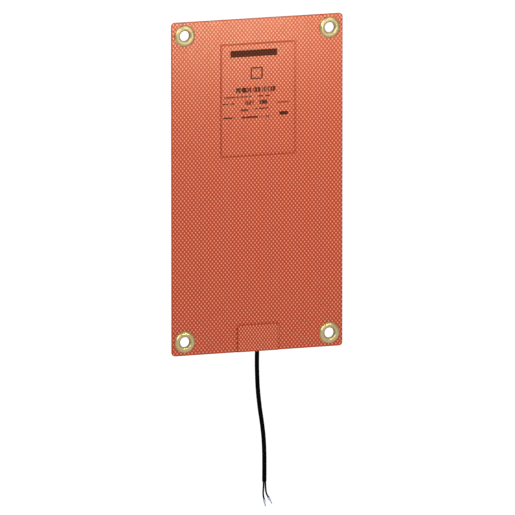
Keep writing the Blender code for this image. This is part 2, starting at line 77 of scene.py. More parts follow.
SHEATH_RADIUS = 0.0025
SHEATH_WALL = 0.0004
SHEATH_CUT_EDGE = 0.00012
SHEATH_CUT_DEPTH = 0.00010
SHEATH_HOLLOW = 0.0016
LEAD_X = 0.0008
CABLE_Y = 0.0013
MAT_BOTTOM_Z = -0.1875
SHEATH_KNOTS = [
    (LEAD_X, MAT_BOTTOM_Z + 0.0120), (LEAD_X, MAT_BOTTOM_Z), (0.0007, -0.1950), (0.0007, -0.2067),
    (0.0016, -0.2294), (0.0038, -0.2510), (0.0060, -0.2659), (0.0077, -0.2790), (0.0087, -0.2900),
    (0.0093, -0.3050), (0.0094, -0.3215), (0.0093, -0.3360),
]
STEPS_BETWEEN_KNOTS = 10
DEEP_BLACK = (0.0010, 0.0010, 0.0012)
DUSTY_BLACK = (0.0032, 0.0032, 0.0034)
MERGE_WITHIN = 0.000001
NEAR = 0.00005


def work_on(piece, mode="OBJECT"):
    """Make this the only selected piece, and open it in the mode with nothing in it selected."""
    if bpy.context.object and bpy.context.object.mode != "OBJECT":
        bpy.ops.object.mode_set(mode="OBJECT")
    bpy.ops.object.select_all(action="DESELECT")
    bpy.context.view_layer.objects.active = piece
    piece.select_set(True)
    if mode == "EDIT":
        bpy.ops.object.mode_set(mode="EDIT")
        bpy.ops.mesh.select_all(action="DESELECT")


def choose(piece, kind, test):
    """In edit mode, select the faces, edges or vertices whose middle passes the test."""
    bpy.ops.mesh.select_all(action="DESELECT")
    bpy.ops.mesh.select_mode(type={"faces": "FACE", "edges": "EDGE", "vertices": "VERT"}[kind])
    bpy.ops.object.mode_set(mode="OBJECT")
    corners = piece.data.vertices
    if kind == "faces":
        for face in piece.data.polygons:
            face.select = test(face.center)
    elif kind == "edges":
        for edge in piece.data.edges:
            edge.select = test((corners[edge.vertices[0]].co + corners[edge.vertices[1]].co) / 2)
    else:
        for vertex in corners:
            vertex.select = test(vertex.co)
    bpy.ops.object.mode_set(mode="EDIT")


def finish_piece(piece, name, angle=35):
    """Leave edit mode, put the place into the mesh, name the piece and smooth its round faces."""
    work_on(piece)
    bpy.ops.object.transform_apply(location=True, rotation=True, scale=True)
    bpy.ops.object.shade_smooth_by_angle(angle=math.radians(angle))
    piece.name = name
    piece.data.name = name


def smooth_line(knots):
    """A Catmull-Rom curve through the route's knots, as points in the plane of the cable."""
    at = [Vector((x, CABLE_Y, z)) for x, z in knots]
    at = [2 * at[0] - at[1]] + at + [2 * at[-1] - at[-2]]
    line = []
    for a, b, c, d in zip(at, at[1:], at[2:], at[3:]):
        for step in range(STEPS_BETWEEN_KNOTS):
            t = step / STEPS_BETWEEN_KNOTS
            line.append(0.5 * (
                2 * b + (c - a) * t + (2 * a - 5 * b + 4 * c - d) * t ** 2
                + (3 * b - a - 3 * c + d) * t ** 3
            ))
    return line + [at[-2]]


def drawn_tube(line, radius, rings):
    """A closed round tube along a line: a bevelled curve turned into a mesh."""
    bpy.ops.curve.primitive_bezier_curve_add()
    drawn = bpy.context.object
    drawn.data.splines.clear()
    drawn.data.dimensions = "3D"
    drawn.data.bevel_depth = radius
    drawn.data.bevel_resolution = rings
    drawn.data.use_fill_caps = True
    spline = drawn.data.splines.new("POLY")
    spline.points.add(len(line) - 1)
    for point, place in zip(spline.points, line):
        point.co = (*place, 1.0)
    work_on(drawn)
    bpy.ops.object.convert(target="MESH")
    tube = bpy.context.object
    work_on(tube, "EDIT")
    bpy.ops.mesh.select_all(action="SELECT")
    bpy.ops.mesh.remove_doubles(threshold=MERGE_WITHIN)
    bpy.ops.mesh.normals_make_consistent(inside=False)
    return tube


sheath_line = smooth_line(SHEATH_KNOTS)
sheath = drawn_tube(sheath_line, SHEATH_RADIUS, rings=8)
sheath_end_z = SHEATH_KNOTS[-1][1]
choose(sheath, "faces", lambda at: at.z < sheath_end_z + NEAR)
bpy.ops.mesh.inset(thickness=SHEATH_CUT_EDGE, depth=SHEATH_CUT_DEPTH)
bpy.ops.mesh.inset(thickness=SHEATH_WALL - SHEATH_CUT_EDGE)
bpy.ops.mesh.extrude_region_move(TRANSFORM_OT_translate={"value": (0, 0, SHEATH_HOLLOW)})
finish_piece(sheath, "sheath_rubber", 50)


class Wire:
    """An output of a material's node. Sums written with it add the Math nodes they need."""

    def __init__(self, tree, socket):
        self.tree = tree
        self.socket = socket

    def node(self, kind, settings, inputs, output=0):
        """Add a node, set it up first, then give its sockets their values or links."""
        made = self.tree.nodes.new(kind)
        for name, setting in settings.items():
            setattr(made, name, setting)
        for key, value in inputs.items():
            if isinstance(value, Wire):
                self.tree.links.new(value.socket, made.inputs[key])
            elif isinstance(value, tuple) and made.inputs[key].type == "RGBA":
                made.inputs[key].default_value = (*value, 1.0)
            else:
                made.inputs[key].default_value = value
        return Wire(self.tree, made.outputs[output])

    def sum(self, operation, *terms):
        return self.node("ShaderNodeMath", {"operation": operation}, dict(enumerate(terms)))

    def __add__(self, other):
        return self.sum("ADD", self, other)

    def __radd__(self, other):
        return self.sum("ADD", other, self)

    def __sub__(self, other):
        return self.sum("SUBTRACT", self, other)

    def __rsub__(self, other):
        return self.sum("SUBTRACT", other, self)

    def __mul__(self, other):
        return self.sum("MULTIPLY", self, other)

    def __rmul__(self, other):
        return self.sum("MULTIPLY", other, self)

    def __neg__(self):
        return self.sum("MULTIPLY", self, -1.0)

    def __abs__(self):
        return self.sum("ABSOLUTE", self)

    def step(self, low, high):
        """0 below low, 1 above high, and a smooth rise between."""
        return self.node(
            "ShaderNodeMapRange", {"interpolation_type": "SMOOTHSTEP"},
            {"Value": self, "From Min": low, "From Max": high},
        )

    def blend(self, first, second):
        """A colour that runs from the first to the second as this goes from 0 to 1."""
        return self.node("ShaderNodeMix", {"data_type": "RGBA"}, {0: self, 6: first, 7: second}, 2)

    def grain(self, scale, stretch=(1.0, 1.0, 1.0), detail=2.0):
        """Soft noise from 0 to 1 at a point, with the given number of grains in a metre."""
        at = self.node(
            "ShaderNodeVectorMath", {"operation": "MULTIPLY"},
            {0: self, 1: tuple(scale * part for part in stretch)},
        )
        return self.node("ShaderNodeTexNoise", {}, {"Vector": at, "Scale": 1.0, "Detail": detail})

    def relief(self, depth):
        """A bumped normal from this height, where 1 stands depth metres proud."""
        return self.node("ShaderNodeBump", {}, {"Height": self, "Distance": depth, "Strength": 1.0})


def new_finish(name, **uniform):
    """A Principled material: its shader, the point on the piece, and its even values set."""
    material = bpy.data.materials.new(name)
    material.use_nodes = True
    shader = material.node_tree.nodes["Principled BSDF"]
    for key, value in uniform.items():
        shader.inputs[key.replace("_", " ")].default_value = value
    start = Wire(material.node_tree, None)
    at = start.node("ShaderNodeTexCoord", {}, {}, "Object")
    return material, shader, at


def feed(shader, **links):
    """Join what varies over the surface to the shader's sockets."""
    for key, wire in links.items():
        wire.tree.links.new(wire.socket, shader.inputs[key.replace("_", " ")])


def wear(piece, *materials):
    """Give a piece its materials in place of what it has."""
    piece.data.materials.clear()
    for material in materials:
        piece.data.materials.append(material)


sheath_black, shader, at = new_finish("satin_black_rubber", IOR=1.5, Specular_IOR_Level=0.015)
drawn_lines = at.grain(1.0, (2600.0, 2600.0, 45.0))
dust = at.grain(420.0, detail=4.0)
feed(
    shader,
    Base_Color=dust.step(0.35, 0.85).blend(DEEP_BLACK, DUSTY_BLACK),
    Roughness=0.36 + dust * 0.16,
    Normal=(drawn_lines * 0.6 + dust * 0.4).relief(0.00003),
)
wear(sheath, sheath_black)
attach(sheath, "root")
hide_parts("cable_sheath")


# Free cores
# Two thin black insulated cores come out of the sheath side by side and spread apart. Each
# is stiff enough to keep its own bend, and ends inside the collar of its ferrule.

CORE_RADIUS = 0.0010
CORE_IN_COLLAR = 0.0028
CORE_KNOTS = {
    "left": [
        (0.0084, -0.3346), (0.0084, -0.3363), (0.0084, -0.3412),
        (0.0081, -0.3465), (0.0081, -0.3514), (0.0090, -0.3561),
    ],
    "right": [
        (0.0105, -0.3346), (0.0105, -0.3363), (0.0107, -0.3410),
        (0.0111, -0.3462), (0.0121, -0.3507), (0.0141, -0.3543),
    ],
}
SCUFFED_BLACK = (0.0034, 0.0034, 0.0037)

core_black, shader, at = new_finish("gloss_black_insulation", IOR=1.5, Specular_IOR_Level=0.02)
scuffs = at.grain(1500.0, (1.0, 1.0, 0.25), 3.0)
feed(
    shader,
    Base_Color=scuffs.step(0.4, 0.9).blend(DEEP_BLACK, SCUFFED_BLACK),
    Roughness=0.26 + scuffs * 0.18,
    Normal=scuffs.relief(0.00002),
)

mouths = {}
cord_pieces = []
for side, knots in CORE_KNOTS.items():
    mouth = Vector((knots[-1][0], CABLE_Y, knots[-1][1]))
    before = Vector((knots[-2][0], CABLE_Y, knots[-2][1]))
    along = (mouth - before).normalized()
    mouths[side] = (mouth, along)
    inner_end = mouth + along * CORE_IN_COLLAR
    core_line = smooth_line(knots + [(inner_end.x, inner_end.z)])
    core = drawn_tube(core_line, CORE_RADIUS, rings=6)
    finish_piece(core, "core_insulation_" + side, 50)
    wear(core, core_black)
    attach(core, "root")
    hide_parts("core_" + side)
    cord_pieces.append(core)


# Ferrules
# Each core ends in a crimped ferrule: a pale blue plastic collar, wider at the mouth that takes
# the insulation, and a tinned copper pin squeezed on the strands with a row of crimp bites.

COLLAR_BORE = 0.0011
COLLAR_PROFILE = [
    (COLLAR_BORE, 0.00030), (COLLAR_BORE + 0.00012, 0.0), (0.00142, 0.0), (0.00150, 0.00008),
    (0.00150, 0.00035), (0.00142, 0.00120), (0.00135, 0.00230), (0.00128, 0.00320),
    (0.00116, 0.00400), (0.00102, 0.00480), (0.00094, 0.00543), (0.00090, 0.00550),
    (0.00078, 0.00550), (0.00078, 0.00400), (COLLAR_BORE, 0.00320),
]
COLLAR_SHADE = (0.470, 0.540, 0.840)
COLLAR_LIGHT = (0.580, 0.650, 0.910)
PIN_RADIUS = 0.00075
PIN_HOLLOW = 0.00018
PIN_START = 0.0043
PIN_END = 0.0087
PIN_BITES = 5
BITES_START = 0.0058
BITES_END = PIN_END - 0.0006
BITE_DEPTH = 0.00007
PIN_SQUEEZE = 0.80
SQUEEZED_FROM = 0.0057
TIN_DARK = (0.11, 0.11, 0.11)
TIN_BRIGHT = (0.21, 0.21, 0.205)


def drawn_profile(points):
    """Draw a closed outline in the XZ plane, point by point, from one vertex."""
    bpy.ops.mesh.primitive_plane_add(size=0.001)
    piece = bpy.context.object
    work_on(piece, "EDIT")
    bpy.ops.mesh.select_all(action="SELECT")
    bpy.ops.mesh.merge(type="CENTER")
    bpy.ops.mesh.select_mode(type="VERT")
    bpy.ops.mesh.select_all(action="SELECT")
    bpy.ops.transform.translate(value=(points[0][0], 0.0, points[0][1]))
    for here, there in zip(points, points[1:] + points[:1]):
        bpy.ops.mesh.extrude_vertices_move(
            TRANSFORM_OT_translate={"value": (there[0] - here[0], 0.0, there[1] - here[1])}
        )
    bpy.ops.mesh.select_all(action="SELECT")
    bpy.ops.mesh.remove_doubles(threshold=MERGE_WITHIN)
    return piece


def turned(points, steps):
    """Spin an outline of radius and height into a ring about the Z axis."""
    ring = drawn_profile(points)
    bpy.ops.mesh.select_all(action="SELECT")
    bpy.ops.mesh.spin(steps=steps, angle=2 * math.pi, center=(0, 0, 0), axis=(0, 0, 1))
    bpy.ops.mesh.select_all(action="SELECT")
    bpy.ops.mesh.remove_doubles(threshold=MERGE_WITHIN)
    bpy.ops.mesh.normals_make_consistent(inside=False)
    bpy.ops.object.mode_set(mode="OBJECT")
    return ring


collar_blue, shader, at = new_finish("pale_blue_collar", Roughness=0.34, IOR=1.49)
shader.inputs["Subsurface Weight"].default_value = 0.25
shader.inputs["Subsurface Radius"].default_value = (0.0006, 0.0006, 0.0009)
haze = at.grain(900.0, detail=3.0)
feed(
    shader,
    Base_Color=haze.step(0.25, 0.75).blend(COLLAR_SHADE, COLLAR_LIGHT),
    Normal=haze.relief(0.00003),
)

tinned, shader, at = new_finish("tinned_copper", Metallic=1.0)
smear = at.grain(2200.0, (1.0, 1.0, 0.3), 4.0)
feed(
    shader,
    Base_Color=smear.step(0.3, 0.8).blend(TIN_DARK, TIN_BRIGHT),
    Roughness=0.30 + smear * 0.22,
    Normal=smear.relief(0.00002),
)

for side, (mouth, along) in mouths.items():
    turn = along.to_track_quat("Z", "Y").to_euler()

    collar = turned(COLLAR_PROFILE, 40)
    collar.location = mouth
    collar.rotation_euler = turn
    finish_piece(collar, "ferrule_plastic_" + side, 40)
    wear(collar, collar_blue)
    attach(collar, "root")
    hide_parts("ferrule_collar_" + side)

    pin_profile = [(PIN_HOLLOW, PIN_START), (PIN_HOLLOW, PIN_END - 0.0003), (0.00040, PIN_END)]
    pin_profile += [(0.00052, PIN_END), (PIN_RADIUS, PIN_END - 0.00012)]
    bite = (BITES_END - BITES_START) / PIN_BITES
    bitten = PIN_RADIUS - BITE_DEPTH
    for index in range(PIN_BITES):
        high = BITES_END - index * bite
        pin_profile += [(PIN_RADIUS, high), (bitten, high - 0.3 * bite)]
        pin_profile += [(bitten, high - 0.6 * bite), (PIN_RADIUS, high - 0.9 * bite)]
    pin_profile += [(PIN_RADIUS, PIN_START)]
    pin = turned(pin_profile, 32)
    work_on(pin, "EDIT")
    choose(pin, "vertices", lambda at: at.z > SQUEEZED_FROM)
    bpy.ops.transform.resize(value=(1.0, PIN_SQUEEZE, 1.0))
    bpy.ops.object.mode_set(mode="OBJECT")
    pin.location = mouth
    pin.rotation_euler = turn
    finish_piece(pin, "ferrule_metal_" + side, 40)
    wear(pin, tinned)
    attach(pin, "root")
    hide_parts("ferrule_pin_" + side)
    cord_pieces += [collar, pin]

sheath_length = sum((b - a).length for a, b in zip(sheath_line, sheath_line[1:]))


# Back ply
# The wall side of the laminate: silicone rubber on glass cloth, pressed so that the cloth's weave
# stands in its face. The eyelets pass through it, and the lead's slot and joint window are cut out.

MAT_WIDTH = 0.200
MAT_HEIGHT = 0.375
MAT_CORNER = 0.004
MAT_FRONT_Y = -0.0015
PLY = 0.0007
EYELET_X = 0.0846
EYELET_Z = 0.1721
EYELETS = {
    "top_left": (-EYELET_X, EYELET_Z), "top_right": (EYELET_X, EYELET_Z),
    "bottom_left": (-EYELET_X, -EYELET_Z), "bottom_right": (EYELET_X, -EYELET_Z),
}
HIDDEN_HOLE = 0.0074
SLOT_HALF = 0.0028
SLOT_TOP_Z = -0.1735
WINDOW_HALF = 0.00825
WINDOW_TOP_Z = -0.1585
THREADS_ACROSS = 92.5
THREADS_UP = 144
WEAVE_PITCH = (MAT_WIDTH / THREADS_ACROSS, MAT_HEIGHT / THREADS_UP)
WEAVE_START = (-MAT_WIDTH / 2, -MAT_HEIGHT / 2)
WEAVE_DEPTH = 0.00015
RUBBER_GROUND = (0.543, 0.0515, 0.0078)
# The hollow colour is painted shade; the crest colour is the cloth's paler tone with painted
# highlight.
RUBBER_HOLLOW_SHADE = (0.394, 0.0258, 0.0014)
RUBBER_CREST_TONE_AND_HIGHLIGHT = (0.938, 0.347, 0.189)
RUBBER_SEAM_SHADE = (0.290, 0.026, 0.008)
MAT_OUTLINE = (-MAT_WIDTH / 2, MAT_BOTTOM_Z, MAT_WIDTH, MAT_HEIGHT)
# The mat's edge gets a line of painted shade.
EDGE_SEAM = (MAT_OUTLINE, 0.0004, 0.0012, 1.0)
# Painted shade for the cut sides of the plies.
CUT_SHADE_DARK = (0.110, 0.040, 0.026)
CUT_SHADE_PALE = (0.230, 0.085, 0.055)


def weave_crest(x, z, pitch, start):
    """1 where one set of threads rides over the other, -1 where it dives under."""
    return np.cos(np.pi * (x - start[0]) / pitch[0]) * np.cos(np.pi * (z - start[1]) / pitch[1])


def round_corners(x, z, left, bottom, width, height, corners):
    """Draw each square corner in to its arc, with the threads in it."""
    signs = [(-1, -1), (1, -1), (1, 1), (-1, 1)]
    for (sign_x, sign_z), radius in zip(signs, corners):
        if radius == 0:
            continue
        centre_x = left + width / 2 + sign_x * (width / 2 - radius)
        centre_z = bottom + height / 2 + sign_z * (height / 2 - radius)
        out_x = np.maximum((x - centre_x) * sign_x, 0.0)
        out_z = np.maximum((z - centre_z) * sign_z, 0.0)
        inside = (out_x > 0) & (out_z > 0)
        pull = np.maximum(out_x, out_z) / np.maximum(np.hypot(out_x, out_z), 1e-9)
        x[inside] = (centre_x + sign_x * out_x * pull)[inside]
        z[inside] = (centre_z + sign_z * out_z * pull)[inside]


def cloth_piece(left, bottom, width, height, inner_y, thickness, pitch, start, corners, open_at):
    """A closed sheet of rubber with the weave raised on its outer face.

    A negative thickness faces -Y. corners are the radii at bottom left, bottom right, top right
    and top left, and open_at says which faces are cut away.
    """
    across = round(2 * width / pitch[0])
    up = round(2 * height / pitch[1])
    bpy.ops.mesh.primitive_grid_add(
        x_subdivisions=across, y_subdivisions=up, size=1.0,
        location=(left + width / 2, inner_y, bottom + height / 2), rotation=(math.pi / 2, 0.0, 0.0),
    )
    sheet = bpy.context.object
    sheet.scale = (width, height, 1.0)
    work_on(sheet)
    bpy.ops.object.transform_apply(location=True, rotation=True, scale=True)
    bpy.ops.object.mode_set(mode="EDIT")
    choose(sheet, "faces", open_at)
    bpy.ops.mesh.delete(type="FACE")
    bpy.ops.mesh.select_all(action="SELECT")
    bpy.ops.mesh.extrude_region_move(TRANSFORM_OT_translate={"value": (0, thickness, 0)})
    choose(sheet, "faces", lambda at: abs(at.y - inner_y) < abs(thickness) / 4)
    bpy.ops.mesh.delete(type="FACE")
    bpy.ops.mesh.select_mode(type="EDGE")
    bpy.ops.mesh.select_non_manifold()
    bpy.ops.mesh.fill(use_beauty=False)
    bpy.ops.object.mode_set(mode="OBJECT")

    places = np.empty(len(sheet.data.vertices) * 3, np.float32)
    sheet.data.vertices.foreach_get("co", places)
    places = places.reshape(-1, 3).astype(float)
    x, y, z = places.T
    outer = np.abs(y - inner_y) > abs(thickness) / 2
    sunk = WEAVE_DEPTH * (1 - weave_crest(x, z, pitch, start)) / 2
    y[outer] = (y - np.sign(thickness) * sunk)[outer]
    round_corners(x, z, left, bottom, width, height, corners)
    sheet.data.vertices.foreach_set("co", places.astype(np.float32).ravel())
    work_on(sheet, "EDIT")
    bpy.ops.mesh.select_all(action="SELECT")
    bpy.ops.mesh.normals_make_consistent(inside=False)
    bpy.ops.object.mode_set(mode="OBJECT")
    return sheet


def in_eyelet(at):
    return any(math.hypot(at.x - x, at.z - z) < HIDDEN_HOLE for x, z in EYELETS.values())


def in_slot(at):
    return abs(at.x - LEAD_X) < SLOT_HALF and at.z < SLOT_TOP_Z


def in_window(at):
    return abs(at.x - LEAD_X) < WINDOW_HALF and SLOT_TOP_Z < at.z < WINDOW_TOP_Z


def square_slot(sheet):
    """Bring the sides of the lead's slot to their real width."""
    column = WEAVE_PITCH[0] / 2
    for vertex in sheet.data.vertices:
        off = vertex.co.x - LEAD_X
        if vertex.co.z < SLOT_TOP_Z + 0.001 and abs(abs(off) - SLOT_HALF) < column * 0.55:
            vertex.co.x = LEAD_X + math.copysign(SLOT_HALF, off)


def largest(values):
    """The largest of several values at each point."""
    most = values[0]
    for value in values[1:]:
        most = most.sum("MAXIMUM", most, value)
    return most


def outline_of(panel, x, z):
    """How far a point lies from the outline of an upright rectangle, in metres."""
    left, bottom, width, height = panel
    off_x = abs(x - (left + width / 2)) - width / 2
    off_z = abs(z - (bottom + height / 2)) - height / 2
    return abs(largest([off_x, off_z]))


def lay_over(shader, at, layers):
    """Mix plainer coats over the shader, each by its share, and join the last to the output."""
    face = Wire(at.tree, shader.outputs["BSDF"])
    for share, coat in layers:
        layer = at.node("ShaderNodeBsdfPrincipled", {}, coat)
        face = at.node("ShaderNodeMixShader", {}, {0: share, 1: face, 2: layer})
    at.tree.links.new(face.socket, at.tree.nodes["Material Output"].inputs["Surface"])


def rubber_face(name, pitch, start, seams, ink=None, crest_from=0.26):
    """The face of the rubber: pale crests and dark hollows of the weave over an uneven orange. The
    pale crests are partly painted highlight, and the dark hollows are painted shade.

    Along each seam the face is painted darker and dull and its pale crests fade, a line of painted
    shade. A seam is given as a panel's outline, how far from it the painted shade begins to fade
    and is gone, and how strong it is. The lower crest_from is, the more of each crest is pale.
    """
    material, shader, at = new_finish(name, IOR=1.5)
    split = at.node("ShaderNodeSeparateXYZ", {}, {0: at}, "X")
    split_z = Wire(split.tree, split.socket.node.outputs["Z"])
    drift = at.grain(120.0) - 0.5
    turns_x = (split - start[0]) * (math.pi / pitch[0]) + drift * 0.35
    turns_z = (split_z - start[1]) * (math.pi / pitch[1]) - drift * 0.35
    weave = turns_x.sum("COSINE", turns_x) * turns_z.sum("COSINE", turns_z)
    fine = at.grain(5200.0, detail=3.0)
    patches = at.grain(38.0, detail=3.0)
    # Painted shade along each seam: darker, duller rubber with fainter crests.
    seam_shade = largest([
        strength - outline_of(panel, split, split_z).step(full, faded) * strength
        for panel, full, faded, strength in seams
    ])
    # Painted highlight on the weave crests, partly their paler tone, at uneven strength; painted
    # shade in the hollows.
    uneven_crest_light = 0.62 + 0.76 * at.grain(700.0)
    crest_tone_and_highlight = weave.step(crest_from, crest_from + 0.60) * uneven_crest_light * (1.0 - 0.35 * seam_shade)
    hollow_shade = (-weave).step(0.0, 0.9)
    ground = (seam_shade * 0.80).blend(hollow_shade.blend(RUBBER_GROUND, RUBBER_HOLLOW_SHADE), RUBBER_SEAM_SHADE)
    cloth = crest_tone_and_highlight.blend(ground, RUBBER_CREST_TONE_AND_HIGHLIGHT)
    feed(
        shader,
        Base_Color=cloth,
        Roughness=0.20 + fine * 0.07 + patches * 0.04,
        Normal=(weave * 0.7 + fine * 0.25).relief(0.00005),
    )
    layers = [(seam_shade, {"Base Color": cloth, "Roughness": 0.7, "Specular IOR Level": 0.05})]
    if ink:
        layers.append(ink(at, split, split_z, weave))
    lay_over(shader, at, layers)
    return material


back_rubber = rubber_face("woven_back_rubber", WEAVE_PITCH, WEAVE_START, [EDGE_SEAM])

# The cut sides are painted dark grey-brown, painted shade on the edges, in stripes along the plies.
cut_rubber, shader, at = new_finish("cut_edge_of_rubber", IOR=1.43)
plies = at.grain(1.0, (300.0, 6000.0, 300.0), 3.0)
feed(
    shader,
    Base_Color=plies.step(0.3, 0.7).blend(CUT_SHADE_DARK, CUT_SHADE_PALE),
    Roughness=0.62 + plies * 0.2,
    Normal=plies.relief(0.00004),
)


def dress_cloth(sheet, name, face_material, edge_material):
    """Woven face outside, the edge's rubber on the cut sides, and the piece's name."""
    finish_piece(sheet, name, 28)
    wear(sheet, face_material, edge_material)
    for face in sheet.data.polygons:
        face.material_index = 1 if abs(face.normal.y) < 0.5 else 0
    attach(sheet, "root")


back_cloth = cloth_piece(
    *MAT_OUTLINE, -PLY, PLY, WEAVE_PITCH, WEAVE_START, [MAT_CORNER] * 4,
    lambda at: in_eyelet(at) or in_slot(at) or in_window(at),
)
square_slot(back_cloth)
dress_cloth(back_cloth, "back_cloth", back_rubber, cut_rubber)
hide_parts("back_sheet")


# Heating track and joints
# Between the plies lies a track etched from nickel alloy foil. Its two tabs are crimped to the
# tails of the cores with tinned barrels, inside the rear cap.

FOIL_DARK = (0.40, 0.37, 0.33)
FOIL_BRIGHT = (0.55, 0.52, 0.47)

foil_metal, shader, at = new_finish("etched_foil", Metallic=1.0)
rolling = at.grain(1.0, (900.0, 900.0, 30.0), 3.0)
feed(
    shader,
    Base_Color=rolling.step(0.3, 0.7).blend(FOIL_DARK, FOIL_BRIGHT),
    Roughness=0.28 + rolling * 0.2,
    Normal=rolling.relief(0.000005),
)
wear(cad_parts["heating_element"], foil_metal)
for side in ("left", "right"):
    wear(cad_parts["splice_" + side], tinned)
    wear(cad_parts["core_tail_" + side], core_black)


# Front ply
# The face of the mat, the same rubber-coated cloth, with the slot for the lead at its lower edge.
# Round the panel and the patch bonded on it, and along the mat's edge, a narrow dull line of
# painted shade is drawn.

LABEL_X = 0.0010
LABEL_BELOW_TOP = 0.0284
LABEL_WIDTH = 0.0865
LABEL_HEIGHT = 0.1255
LABEL_Z = MAT_BOTTOM_Z + MAT_HEIGHT - LABEL_BELOW_TOP - LABEL_HEIGHT
LABEL_OUTLINE = (LABEL_X - LABEL_WIDTH / 2, LABEL_Z, LABEL_WIDTH, LABEL_HEIGHT)
PATCH_WIDTH = 0.048
PATCH_HEIGHT = 0.0305
PATCH_OUTLINE = (LEAD_X - PATCH_WIDTH / 2, MAT_BOTTOM_Z, PATCH_WIDTH, PATCH_HEIGHT)
BELOW_EDGE = 0.0020
PATCH_MARK = (PATCH_OUTLINE[0], MAT_BOTTOM_Z - BELOW_EDGE, PATCH_WIDTH, PATCH_HEIGHT + BELOW_EDGE)
# Painted shade lines round the mat's edge, the printed panel and the lead patch.
SEAMS = [EDGE_SEAM, (LABEL_OUTLINE, 0.0005, 0.0013, 0.8), (PATCH_MARK, 0.0006, 0.0016, 0.5)]

front_rubber = rubber_face("woven_front_rubber", WEAVE_PITCH, WEAVE_START, SEAMS)
front_cloth = cloth_piece(
    *MAT_OUTLINE, MAT_FRONT_Y + PLY, -PLY, WEAVE_PITCH, WEAVE_START, [MAT_CORNER] * 4,
    lambda at: in_eyelet(at) or in_slot(at),
)
square_slot(front_cloth)
dress_cloth(front_cloth, "front_cloth", front_rubber, cut_rubber)
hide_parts("front_sheet")


# Printed panel
# A thin panel of the same cloth is bonded on near the top. It carries plain bars of black ink:
# a heavy one, a square frame, and rows of thin broken ones.

BOND_DEPTH = 0.00012
LABEL_THICKNESS = 0.00054
LABEL_CORNER = 0.0008
# Painted shade for the sides of the panel and the patch, a darker red than their face.
SIDE_SHADE_DARK = (0.400, 0.048, 0.015)
SIDE_SHADE_PALE = (0.520, 0.070, 0.024)
INK = (0.040, 0.010, 0.004)
BAR_BLUR = 0.00015
LABEL_WEAVE_START = (WEAVE_START[0] - 0.0003, WEAVE_START[1] + 0.0007)
LABEL_BARS = [
    # left, right, low, high, from the panel's lower left corner, and how finely the bar is broken
    (0.0110, 0.0655, 0.1110, 0.1185, 0.0),
    (0.0345, 0.0485, 0.0974, 0.0989, 0.0),
    (0.0345, 0.0485, 0.0855, 0.0870, 0.0),
    (0.0345, 0.0360, 0.0855, 0.0989, 0.0),
    (0.0470, 0.0485, 0.0855, 0.0989, 0.0),
    (0.0175, 0.0635, 0.0708, 0.0765, 900.0),
    (0.0020, 0.0350, 0.0655, 0.0670, 420.0),
    (0.0420, 0.0570, 0.0655, 0.0670, 420.0),
    (0.0020, 0.0190, 0.0582, 0.0598, 420.0),
    (0.0280, 0.0380, 0.0570, 0.0615, 700.0),
    (0.0450, 0.0540, 0.0570, 0.0615, 700.0),
    (0.0650, 0.0790, 0.0575, 0.0585, 0.0),
    (0.0230, 0.0320, 0.0500, 0.0525, 700.0),
    (0.0370, 0.0550, 0.0515, 0.0530, 420.0),
    (0.0020, 0.0160, 0.0425, 0.0440, 420.0),
    (0.0240, 0.0590, 0.0420, 0.0440, 420.0),
    (0.0680, 0.0780, 0.0435, 0.0475, 0.0),
]


def label_ink(at, x, z, weave):
    """Where the printed bars lie, rubbed thin where the weave stands up, and their dry coat."""
    bars = []
    for left, right, low, high, broken in LABEL_BARS:
        off_x = abs(x - (LABEL_OUTLINE[0] + (left + right) / 2)) - (right - left) / 2
        off_z = abs(z - (LABEL_OUTLINE[1] + (low + high) / 2)) - (high - low) / 2
        bar = 1.0 - largest([off_x, off_z]).step(-BAR_BLUR, BAR_BLUR)
        if broken:
            bar = bar * at.grain(1.0, (broken, 1.0, 60.0), 0.0).step(0.40, 0.46)
        bars.append(bar)
    rubbed = at.grain(1600.0, detail=3.0).step(0.30, 0.62)
    share = largest(bars) * (0.86 + 0.13 * rubbed) * (1.0 - 0.10 * weave.step(0.5, 0.9))
    return share, {"Base Color": INK, "Roughness": 0.6, "Specular IOR Level": 0.05}


# The sides of the panel and the patch are painted a darker, dull red: painted shade along their
# outlines.
side_shade_rubber, shader, at = new_finish("painted_shade_side_rubber", IOR=1.43, Specular_IOR_Level=0.08)
seam_drift = at.grain(600.0, detail=3.0)
feed(
    shader,
    Base_Color=seam_drift.step(0.3, 0.7).blend(SIDE_SHADE_DARK, SIDE_SHADE_PALE),
    Roughness=0.70 + seam_drift * 0.2,
    Normal=seam_drift.relief(0.00003),
)

label_rubber = rubber_face(
    "printed_orange_rubber", WEAVE_PITCH, LABEL_WEAVE_START, SEAMS, ink=label_ink
)
label_cloth = cloth_piece(
    *LABEL_OUTLINE, MAT_FRONT_Y + BOND_DEPTH, -LABEL_THICKNESS, WEAVE_PITCH, LABEL_WEAVE_START,
    [LABEL_CORNER] * 4, lambda at: False,
)
dress_cloth(label_cloth, "label_cloth", label_rubber, side_shade_rubber)
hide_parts("label_panel")


# Lead patch
# A thicker piece of finer cloth covers the slot where the lead comes in, flush with the mat's
# lower edge and round at its two upper corners.

PATCH_PITCH = (0.00184, 0.00240)
PATCH_START = PATCH_OUTLINE[:2]
PATCH_THICKNESS = 0.00134
PATCH_CORNER = 0.0025

patch_rubber = rubber_face(
    "finer_orange_rubber", PATCH_PITCH, PATCH_START, SEAMS, crest_from=0.12
)
patch_cloth = cloth_piece(
    *PATCH_OUTLINE, MAT_FRONT_Y + BOND_DEPTH, -PATCH_THICKNESS, PATCH_PITCH, PATCH_START,
    [0, 0, PATCH_CORNER, PATCH_CORNER], lambda at: False,
)
dress_cloth(patch_cloth, "patch_cloth", patch_rubber, side_shade_rubber)
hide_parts("lead_patch")
